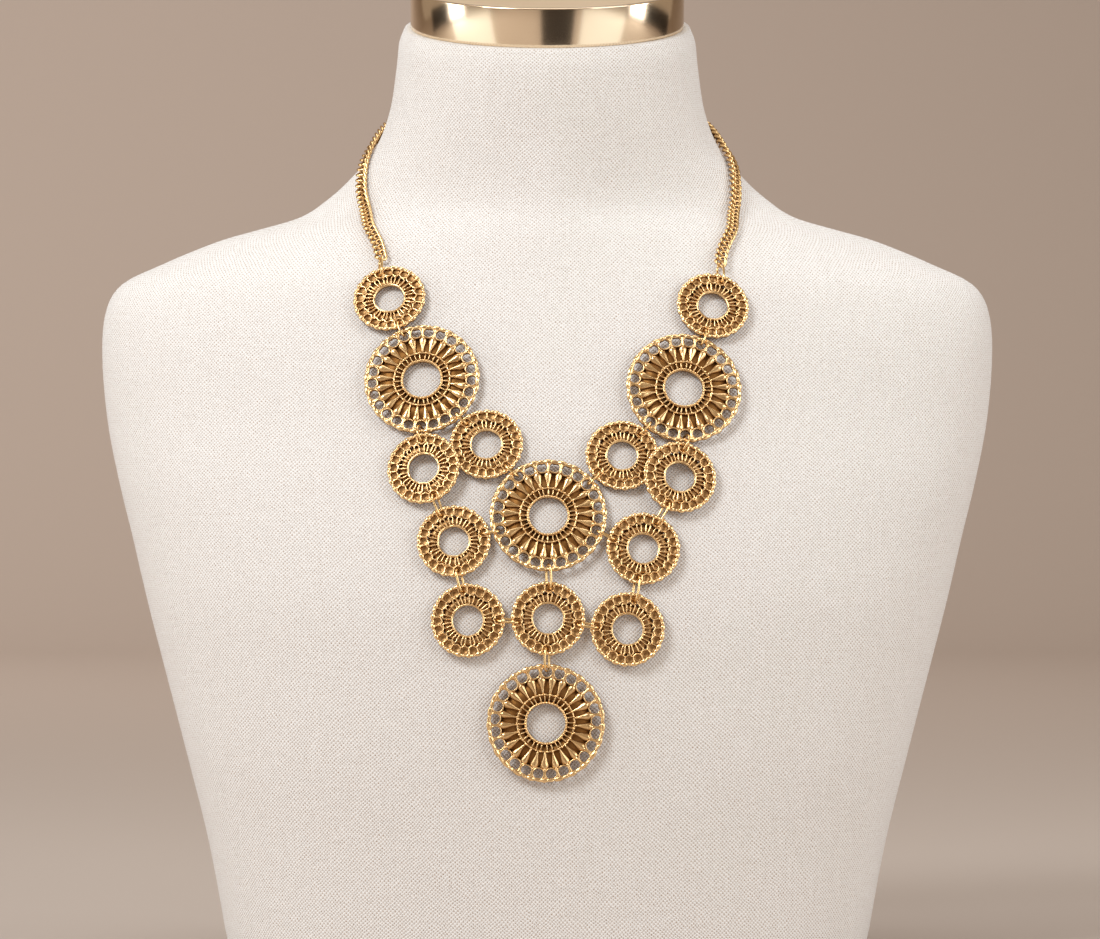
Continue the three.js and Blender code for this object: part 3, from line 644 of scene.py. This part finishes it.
def bust_cap():
    """A band with a rounded edge at both ends and a flat top, on the CAD cap's own axis."""
    points, faces = welded("bust_cap")
    sides = points[faces]
    areas = np.cross(sides[:, 1] - sides[:, 0], sides[:, 2] - sides[:, 0])
    flat = [i for i in range(len(faces)) if unit(areas[i])[2] > FACES_UP]
    axis = unit(areas[flat].sum(axis=0))
    heights = points @ axis
    low, high = heights.min(), heights.max()
    rim = points[heights < low + ON_END]
    rim = rim[np.linalg.norm(rim - rim.mean(axis=0), axis=1) > CAP_HUB]
    middle = (rim.max(axis=0) + rim.min(axis=0)) / 2
    ahead = unit(np.cross(np.array([1.0, 0, 0]), axis))
    half_width = np.abs((rim - middle)[:, 0]).max()
    half_depth = np.abs((rim - middle) @ ahead).max()
    turn = np.arange(CAP_SIDES) * 2 * math.pi / CAP_SIDES

    def ring(height, inward):
        return (
            middle + axis * height
            + np.outer(np.sin(turn) * (half_width - inward), [1.0, 0, 0])
            + np.outer(np.cos(turn) * (half_depth - inward), ahead)
        )

    tall = high - low - CAP_SEAT
    rows = [ring(-CAP_SEAT, CAP_UNDER_INSET)]
    for t in np.linspace(0, math.pi / 2, ARC_STEPS):
        rows.append(ring(-CAP_SEAT + CAP_ROUND * (1 - math.cos(t)), CAP_ROUND * (1 - math.sin(t))))
    for t in np.linspace(0, math.pi / 2, ARC_STEPS):
        rows.append(ring(tall - CAP_ROUND * (1 - math.sin(t)), CAP_ROUND * (1 - math.cos(t))))
    rows += [ring(tall, distance) for distance in CAP_TOP_INSETS]
    form = Form()
    form.grid(np.array(rows))
    satin = np.zeros((len(rows), CAP_SIDES))
    satin[-CAP_SATIN_RINGS:] = 1.0
    mesh = form.mesh("cap_band", [("satin", satin.ravel())])
    show("cap_band", mesh, BRASS, "cap_brass", "bust_cap")


# Discs


def wall(form, path, width, top, closed=False):
    """A cast wall with a rounded crest along a path in the disc's plane."""
    path = np.asarray(path, float)
    count = len(path)
    width = np.broadcast_to(width, count) / 2
    top = np.broadcast_to(top, count)
    if closed:
        along = unit(np.roll(path, -1, axis=0) - np.roll(path, 1, axis=0))
    else:
        along = unit(np.gradient(path, axis=0))
    across = np.stack([-along[:, 1], along[:, 0]], axis=1)
    rows = []
    for share, drop in WALL_SECTION:
        flat = path - across * (share * width)[:, None]
        height = np.full(count, DISC_BOTTOM) if drop is None else top - drop * width
        rows.append(np.column_stack([flat, height]))
    form.grid(np.stack(rows, axis=1), joined=closed)


def ball(form, place, height, radii, turn=0.0, shape=NUGGET_SHAPE):
    """A small rounded nugget with its own three radii, turned about its upright."""
    sides, rings = shape
    around = np.arange(sides) * 2 * math.pi / sides
    up = np.linspace(-1, 1, rings + 2) * math.pi / 2 * NUGGET_END
    rows = np.stack([
        np.stack([
            radii[0] * np.cos(a) * np.cos(around),
            radii[1] * np.cos(a) * np.sin(around),
            np.full(sides, radii[2] * math.sin(a)),
        ], axis=1)
        for a in up
    ])
    cos, sin = math.cos(turn), math.sin(turn)
    turned = rows.copy()
    turned[..., 0] = place[0] + rows[..., 0] * cos - rows[..., 1] * sin
    turned[..., 1] = place[1] + rows[..., 0] * sin + rows[..., 1] * cos
    turned[..., 2] = height + rows[..., 2]
    form.grid(turned)


def polar(radius, angle):
    """Flat points at a distance and an angle from the middle."""
    return np.stack([radius * np.cos(angle), radius * np.sin(angle)], axis=-1)


def turned_flat(points, angle):
    """Flat points turned about the middle."""
    cos, sin = math.cos(angle), math.sin(angle)
    return points @ np.array([[cos, sin], [-sin, cos]])


def round_path(radius, count, wave=0.0, lobes=0, shift=0.0):
    """A circle, or a wavy one with its lobes shifted by an angle."""
    turn = np.arange(count) * 2 * math.pi / count
    return polar(radius * (1 + wave * np.cos(lobes * (turn - shift))), turn)


def ring_wall(form, radius, part, lobes=0, shift=0.0):
    """A wall right round the disc."""
    path = round_path(part["place"] * radius, part["steps"], part.get("wave", 0.0), lobes, shift)
    wall(form, path, part["width"] * radius, part["top"] * MM, closed=True)


def disc_floor(form, radius, edges):
    """The thin recessed floor under the slots."""
    inner, outer = (edge * radius for edge in edges)
    above = DISC_BOTTOM + FLOOR_THICKNESS
    rows = []
    for reach, height in ((inner, DISC_BOTTOM), (outer, DISC_BOTTOM), (outer, above), (inner, above)):
        ring = round_path(reach, FLOOR_STEPS)
        rows.append(np.column_stack([ring, np.full(len(ring), height)]))
    form.grid(np.stack(rows, axis=1), joined=True)


def dish(form, radius, turn):
    """The hollow floor of a small cell."""
    around = np.arange(DISH_SIDES) * 2 * math.pi / DISH_SIDES
    corner = np.stack([np.cos(around), np.sin(around)], axis=1)
    square = np.sign(corner) * np.abs(corner) ** DISH_SQUARE
    reach, distance = CELL_DISH["reach"] * radius, CELL_DISH["place"] * radius
    rows = []
    for squared, share, height in DISH_SECTION:
        shape = (square if squared else corner) * share
        flat = turned_flat(shape * reach + (distance, 0), turn)
        rows.append(np.column_stack([flat, np.full(len(flat), height * DISC_THICKNESS)]))
    form.grid(np.array(rows))


def knob(form, radius, part, angle, turn, size, rng):
    """A wide nugget on the rim at an angle, turned by another."""
    radii = (radius * part["depth"], radius * rng.uniform(*part["width"]), part["rise"] * MM * size)
    ball(form, polar(part["place"] * radius, angle), part["height"] * MM, radii, turn)


def cast(form, radius, lift):
    """Gives the disc the gentle waves of a hand-finished casting, and its depth attribute, which
    paints shade into the disc's low parts.
    """
    points = np.vstack(form.points)
    flow = np.zeros_like(points)
    rng = np.random.default_rng(CAST_SEED)
    for _ in range(CAST_WAVES):
        wave = rng.normal(size=2)
        wave *= 2 * math.pi / (rng.uniform(*CAST_WAVE_LENGTHS) * MM) / np.linalg.norm(wave)
        push = rng.normal(size=3) * CAST_WAVE / math.sqrt(CAST_WAVES / 2)
        flow += np.sin(points[:, :2] @ wave + rng.uniform(0, CAST_PHASES))[:, None] * push
    # Depth: 0 low in the disc and 1 on top; the gold paints shade from it into the hollows and floors
    depth = np.clip((points[:, 2] / DISC_THICKNESS + lift) / CAST_DEPTH, 0, 1)
    reach = np.linalg.norm(points[:, :2], axis=1)
    edge = np.clip((radius - reach) / CAST_EDGE, 0, 1)
    flow *= edge[:, None]
    form.points = [points + flow]
    return depth


def spokes_and_beads(form, radius, rng):
    """The large disc's inner work: beads on the hub, and spokes out to a wavy ring."""
    for number in range(LARGE_BEADS["count"]):
        turn = number * 2 * math.pi / LARGE_BEADS["count"]
        size = radius * rng.uniform(*LARGE_BEADS["size"])
        place = polar(LARGE_BEADS["place"] * radius, turn)
        ball(form, place, LARGE_BEADS["height"] * MM, (size,) * 3, shape=BEAD_SHAPE)
    disc_floor(form, radius, LARGE_FLOOR)
    for number in range(SPOKES["count"]):
        sway = rng.uniform(-SPOKES["sway"], SPOKES["sway"])
        turn = (number + sway) * 2 * math.pi / SPOKES["count"]
        path = [polar(place * radius, turn) for place in SPOKES["places"]]
        wall(form, path, radius * rng.uniform(*SPOKES["width"]), SPOKES["top"] * MM)
        size = radius * rng.uniform(*SPOKE_ENDS["size"])
        place = polar(SPOKE_ENDS["place"] * radius, turn)
        ball(form, place, SPOKE_ENDS["height"] * MM, (size,) * 3, shape=BEAD_SHAPE)
    ring_wall(form, radius, SPOKE_RING, SPOKES["count"])


def large_disc(radius, cells):
    """The cast openwork of a large disc. A hole lies at angle 0 and a post half a cell on."""
    form = Form()
    rng = np.random.default_rng(LARGE_SEED)
    step = 2 * math.pi / cells
    ring_wall(form, radius, LARGE_HUB)
    spokes_and_beads(form, radius, rng)
    around = np.arange(HOLE["steps"]) * 2 * math.pi / HOLE["steps"]
    hole = np.stack([
        radius * (HOLE["place"] + HOLE["reach"] * np.cos(around)),
        radius * HOLE["half_width"] * np.sin(around),
    ], axis=1)
    for cell in range(cells):
        turn = (cell + 0.5 + rng.uniform(-LARGE_SWAY, LARGE_SWAY)) * step
        size = rng.uniform(*LARGE_SIZES)
        tops = PETAL_TOPS * MM + rng.uniform(-PETAL_TOP_SWAY, PETAL_TOP_SWAY) * MM
        path = [polar(place * radius, turn) for place in PETAL_PLACES]
        wall(form, path, PETAL_WIDTHS * radius * size, tops)
        path = [polar(place * radius, turn) for place in LARGE_POST_PLACES]
        wall(form, path, LARGE_POST_WIDTHS * radius * size, LARGE_POST_TOP * MM)
        wall(form, turned_flat(hole, cell * step), radius * rng.uniform(*HOLE["width"]),
             HOLE["top"] * MM, closed=True)
        knob(form, radius, LARGE_KNOBS, turn, turn, size, rng)
        beside = turn + step * rng.uniform(*BUMP_SHIFTS)
        knob(form, radius, LARGE_BUMPS, beside, turn, size, rng)
    ring_wall(form, radius, LARGE_RIM, cells, step / 2)
    depth = cast(form, radius, LARGE_LIFT)
    return form.mesh("large_disc", [("depth", depth)])


def small_disc(radius, cells):
    """The cast openwork of a small disc. A cell lies at angle 0 and a post half a cell on."""
    form = Form()
    rng = np.random.default_rng(SMALL_SEED)
    step = 2 * math.pi / cells
    ring_wall(form, radius, SMALL_HUB)
    disc_floor(form, radius, SMALL_FLOOR)
    side = [(place, -share) for place, share in LOOP_SIDE] + [LOOP_TIP, *reversed(LOOP_SIDE)]
    for number in range(LOOPS["count"]):
        sway = rng.uniform(-LOOPS["sway"], LOOPS["sway"])
        turn = (number + sway) * 2 * math.pi / LOOPS["count"]
        half = math.pi / LOOPS["count"] * rng.uniform(*LOOPS["half_turn"])
        path = [polar(place * radius, turn + half * share) for place, share in side]
        wall(form, path, radius * rng.uniform(*LOOPS["width"]), LOOPS["top"] * MM)
    corners = np.arange(2 * cells)
    zigzag = polar(radius * np.where(corners % 2, *ZIGZAG["places"][::-1]), corners * step / 2)
    wall(form, through(zigzag, ZIGZAG["steps"], closed=True), ZIGZAG["width"] * radius,
         ZIGZAG["top"] * MM, closed=True)
    for cell in range(cells):
        dish(form, radius, cell * step)
        turn = (cell + 0.5 + rng.uniform(-SMALL_SWAY, SMALL_SWAY)) * step
        size = rng.uniform(*SMALL_SIZES)
        path = [polar(place * radius, turn) for place in SMALL_POST_PLACES]
        wall(form, path, SMALL_POST_WIDTHS * radius * size, SMALL_POST_TOP * MM)
        knob(form, radius, SMALL_KNOBS, turn, turn, size, rng)
        beside = turn + step * rng.uniform(*BUMP_SHIFTS)
        knob(form, radius, SMALL_BUMPS, beside, turn, size, rng)
        ball(form, polar(ZIGZAG_BEADS["place"] * radius, turn), ZIGZAG_BEADS["height"] * MM,
             (ZIGZAG_BEADS["size"] * radius,) * 3, turn, BEAD_SHAPE)
    ring_wall(form, radius, SMALL_RIM, cells, step / 2)
    depth = cast(form, radius, SMALL_LIFT)
    return form.mesh("small_disc", [("depth", depth)])


def disc_pose(node, cells):
    """Where a CAD disc lies, with its first cell at angle 0, and its radius."""
    points, faces = welded(node)
    corners = points[faces]
    areas = np.cross(corners[:, 1] - corners[:, 0], corners[:, 2] - corners[:, 0])
    size = np.linalg.norm(areas, axis=1)
    kept = size > NO_AREA
    spread = (areas[kept] / size[kept, None]).T @ areas[kept]
    normal = np.linalg.eigh(spread)[1][:, -1]
    normal *= -np.sign(normal[1])
    side = unit(np.cross(UP, normal))
    up = np.cross(normal, side)
    flat = points @ np.stack([side, up], axis=1)
    middle = (flat.max(axis=0) + flat.min(axis=0)) / 2
    for share in RIM_SHARES:
        away = flat - middle
        reach = np.linalg.norm(away, axis=1)
        rim = away[reach > share * reach.max()]
        middle = middle + rim.mean(axis=0)
    away = flat - middle
    reach = np.linalg.norm(away, axis=1)
    rim = away[reach > RIM_TIPS * reach.max()]
    angle = np.arctan2(rim[:, 1], rim[:, 0])
    turn = np.angle(np.exp(1j * cells * angle).mean()) / cells + math.pi / cells
    back = (points @ normal).min()
    centre = side * middle[0] + up * middle[1] + normal * (back + DISC_THICKNESS / 2)
    matrix = Matrix.Identity(4)
    for row in range(3):
        matrix[row][0], matrix[row][1] = side[row], up[row]
        matrix[row][2], matrix[row][3] = normal[row], centre[row]
    return matrix, turn, reach.max()


def discs():
    """The 15 discs: two castings, each turned by a few cells from one disc to the next."""
    shapes = {}
    for number, node in enumerate(sorted(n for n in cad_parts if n.startswith("disc_"))):
        low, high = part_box(node)
        large = high.x - low.x > LARGE_DISC
        cells = LARGE_CELLS if large else SMALL_CELLS
        pose, turn, radius = disc_pose(node, cells)
        if large not in shapes:
            shapes[large] = (large_disc if large else small_disc)(radius, cells)
        turn += number * CELL_STRIDE % cells * 2 * math.pi / cells
        place = pose @ Matrix.Rotation(turn, 4, "Z")
        show(node.replace("disc_", "filigree_"), shapes[large], GOLD, "gold", node, place=place)


# Jump rings


def ring_shape(node):
    """The middle, the axes and the sizes of a CAD jump ring."""
    points, _ = welded(node)
    middle = (points.max(axis=0) + points.min(axis=0)) / 2
    for _ in range(3):
        axes = np.linalg.svd(points - points.mean(axis=0), full_matrices=False)[2]
        spots = (points - middle) @ axes.T
        middle = middle + ((spots.max(axis=0) + spots.min(axis=0)) / 2) @ axes
    spots = np.abs((points - middle) @ axes.T).max(axis=0)
    radius = spots[2] / CAD_WIRE_REACH
    bend = spots[1] / CAD_WIRE_REACH - radius
    return middle, axes, radius, bend, max(0.0, spots[0] - bend - radius)


def oval_path(middle, axes, bend, straight):
    """The middle line of an oval ring: two bends with a straight stretch on each side."""
    turn = np.arange(RING_STEPS) * 2 * math.pi / RING_STEPS
    shift = np.clip(np.cos(turn) * STRAIGHT_SHARPNESS, -1, 1) * straight
    return (
        middle
        + np.outer(bend * np.cos(turn) + shift, axes[0])
        + np.outer(bend * np.sin(turn), axes[1])
    )


def jump_rings():
    """Every ring as a round wire. Returns the two ends of each ring's middle line."""
    ends = {}
    for node in sorted(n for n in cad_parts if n.startswith("ring_")):
        middle, axes, radius, bend, straight = ring_shape(node)
        form = Form()
        wire(form, oval_path(middle, axes, bend, straight), axes[2], radius, RING_SIDES)
        name = node.replace("ring_", "oval_")
        mesh = form.mesh(name, [("depth", np.ones(form.count))])
        show(name, mesh, WIRE_GOLD, "ring_gold", node)
        ends[node] = [middle + axes[0] * way * (bend + straight) for way in (-1, 1)]
    return ends


# Chains


def tube_middles(node):
    """The middles of the CAD chain's sections, in no order."""
    points, faces = welded(node)
    group = list(range(len(points)))

    def root(i):
        while group[i] != i:
            group[i] = group[group[i]]
            i = group[i]
        return i

    for a, b, c in faces:
        for one, other in ((a, b), (b, c), (c, a)):
            if np.linalg.norm(points[one] - points[other]) < TUBE_EDGE:
                group[root(one)] = root(other)
    found = {}
    for i in range(len(points)):
        found.setdefault(root(i), []).append(points[i])
    return [np.mean(g, axis=0) for g in found.values() if len(g) == TUBE_SIDES]


def chain_route(node, low_end, nape_end):
    """A smooth line from the lower ring through the CAD chain's sections to the nape."""
    middles = tube_middles(node)
    route = [low_end]
    while middles:
        distances = [np.linalg.norm(m - route[-1]) for m in middles]
        route.append(middles.pop(int(np.argmin(distances))))
    route.append(nape_end)
    return through(np.array(route), ROUTE_STEPS)


def evened(line, reach):
    """A line of points averaged over its near ones, with both ends kept."""
    ahead, behind = 2 * line[0] - line[reach:0:-1], 2 * line[-1] - line[-2:-reach - 2:-1]
    padded = np.concatenate([ahead, line, behind])
    return np.array([padded[i:i + 2 * reach + 1].mean(axis=0) for i in range(len(line))])


def link(form, place, along, wide, out, half_length):
    """A curb link: an oval twisted so that its neighbours pass beside its arms."""
    turn = (np.arange(LINK_STEPS) + 0.5) * 2 * math.pi / LINK_STEPS
    ahead, aside = np.cos(turn), np.sin(turn)
    half_width = (LINK_WIDTH - LINK_WIRE) / 2
    path = (
        place
        + np.outer(half_length * np.sign(ahead) * np.abs(ahead) ** LINK_SQUARE, along)
        + np.outer(half_width * np.sign(aside) * np.abs(aside) ** LINK_SQUARE, wide)
        + np.outer(LINK_TWIST * np.sin(2 * turn), out)
    )
    wire(form, path, out, LINK_WIRE / 2, LINK_SIDES)


def outward(cover, route):
    """The cloth's outward direction beneath each point of a route, evened out along it."""
    across = np.roll(cover, -1, axis=1) - np.roll(cover, 1, axis=1)
    normals = np.cross(across, np.gradient(cover, axis=0)).reshape(-1, 3)
    points = cover.reshape(-1, 3)
    found = []
    for place in route:
        near = np.argsort(np.linalg.norm(points - place, axis=1))[:OUTWARD_CORNERS]
        found.append(unit(normals[near].sum(axis=0)))
    return unit(evened(np.array(found), OUTWARD_REACH))


def chain(name, cover, ends):
    """Curb links along the CAD chain, lying flat on the cloth."""
    low_ring = ends[f"ring_chain_{name}"]
    nape_ring = ends["ring_clasp" if name == "left" else "ring_end"]
    middles = np.array(tube_middles(f"chain_{name}"))
    low_end = min(low_ring, key=lambda p: np.linalg.norm(middles - p, axis=1).min())
    nape_end = min(nape_ring, key=lambda p: np.linalg.norm(middles - p, axis=1).min())
    route = evened(chain_route(f"chain_{name}", low_end, nape_end), ROUTE_REACH)
    steps = np.linalg.norm(np.diff(route, axis=0), axis=1)
    walked = np.concatenate([[0], np.cumsum(steps)])
    outs = outward(cover, route)
    from_end = np.clip(np.minimum(walked, walked[-1] - walked) / SINK_RUN, 0, 1)
    sunk = from_end ** 2 * (3 - 2 * from_end)
    route = route - outs * (CHAIN_SINK * sunk)[:, None]
    half = (LINK_LENGTH - LINK_WIRE) / 2
    first = half - LINK_WIRE / 2 - END_GAP
    pitch = 2 * half - LINK_WIRE - LINK_SLACK
    count = round((walked[-1] - 2 * first) / pitch)
    spots = np.linspace(first, walked[-1] - first, count + 1)
    form = Form()
    for spot in spots:
        place, before, after, out = (
            np.array([np.interp(s, walked, line[:, k]) for k in range(3)])
            for s, line in ((spot, route), (spot - MM, route), (spot + MM, route), (spot, outs))
        )
        along = unit(after - before)
        out = unit(out - along * (out @ along))
        link(form, place, along, np.cross(along, out), out, half)
    # The depth paints shade beneath each wire and beside each link's hole
    mesh = form.mesh(f"links_{name}", [("depth", link_shade_depth(len(spots)))])
    show(f"links_{name}", mesh, CHAIN_GOLD, "chain_gold", f"chain_{name}")


def link_shade_depth(links):
    """Depth for each point of the links, which paints shade: little beneath a wire and beside the
    link's hole.
    """
    turn = np.arange(LINK_SIDES) * 2 * math.pi / LINK_SIDES
    side = np.clip(np.maximum(np.cos(turn), np.sin(turn)), 0, 1)
    return np.tile(LINK_SHADED_DEPTH + (1 - LINK_SHADED_DEPTH) * side, LINK_STEPS * links)


def dress_clasp():
    """The clasp keeps its CAD form, with rounded edges."""
    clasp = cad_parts["clasp"]
    clasp.data.materials.clear()
    clasp.data.materials.append(WIRE_GOLD)
    weld = clasp.modifiers.new("weld", "WELD")
    weld.merge_threshold = ON_FACE
    bevel = clasp.modifiers.new("bevel", "BEVEL")
    bevel.width, bevel.segments = CLASP_ROUND, CLASP_ROUND_STEPS


# Stage


def sheet(name, rows, shade, roughness):
    """A plain sheet between two rows of points, which is no part of the object."""
    count = rows.shape[1]
    form = Form()
    form.add(rows.reshape(-1, 3), [(i, i + count, i + 1 + count, i + 1) for i in range(count - 1)])
    piece = linked(name, form.mesh(name))
    piece.data.materials.append(Paint(name, roughness=roughness).finish(Base_Color=shade))
    return piece


def stage():
    """A floor that sweeps up into a wall behind the farthest camera."""
    profile = [(STAGE_FRONT, 0.0), (STAGE_MIDDLE, 0.0)]
    profile += [(SWEEP_START + SWEEP_RADIUS * math.sin(t), SWEEP_RADIUS * (1 - math.cos(t)))
                for t in np.linspace(0, math.pi / 2, SWEEP_STEPS)]
    profile += [(SWEEP_START + SWEEP_RADIUS, WALL_HEIGHT)]
    rows = np.array([[(x, y, z) for y, z in profile]
                     for x in (-STAGE_HALF_WIDTH, STAGE_HALF_WIDTH)])
    floor = sheet("backdrop", rows, STAGE_COLOUR, STAGE_ROUGHNESS)


def card(name, start, end, edges, shade):
    """A studio card that only the polished metal mirrors.

    start, end: degrees from the front. edges: distance from the middle and height of each edge.
    """
    angles = np.radians(np.linspace(start, end, CARD_STEPS + 1))
    rows = np.array([[(r * math.sin(a), -r * math.cos(a), z) for a in angles] for r, z in edges])
    piece = sheet(name, rows, shade, CARD_ROUGHNESS)
    piece.visible_camera = piece.visible_diffuse = piece.visible_shadow = False


def lamp(name, place, aim, size, power, colour):
    """A soft rectangular lamp that points at a place."""
    light = bpy.data.lights.new(name, "AREA")
    light.shape = "RECTANGLE"
    light.size, light.size_y = size
    light.energy = power
    light.color = colour
    holder = linked(name, light)
    holder.location = place
    holder.rotation_euler = (Vector(aim) - Vector(place)).to_track_quat("-Z", "Y").to_euler()


def light_and_camera():
    """The lamps, the cards, a warm surrounding light, and the photo's own viewpoint."""
    for settings in LAMPS:
        lamp(*settings)
    for settings in CARDS:
        card(*settings)
    world = bpy.data.worlds.new("world")
    world.use_nodes = True
    background = world.node_tree.nodes["Background"]
    background.inputs["Color"].default_value = WORLD_COLOUR
    background.inputs["Strength"].default_value = WORLD_STRENGTH
    bpy.context.scene.world = world
    bpy.context.scene.view_settings.view_transform = "Standard"
    camera = bpy.data.cameras.new("camera")
    camera.lens = CAMERA_LENS
    camera.sensor_width = CAMERA_SENSOR
    holder = linked("camera", camera)
    holder.location = CAMERA_PLACE
    holder.rotation_euler = (math.pi / 2, 0, 0)
    bpy.context.scene.camera = holder


cover = bust_cover()
bust_cap()
discs()
ends = jump_rings()
for side in ("left", "right"):
    chain(side, cover, ends)
dress_clasp()
stage()
light_and_camera()
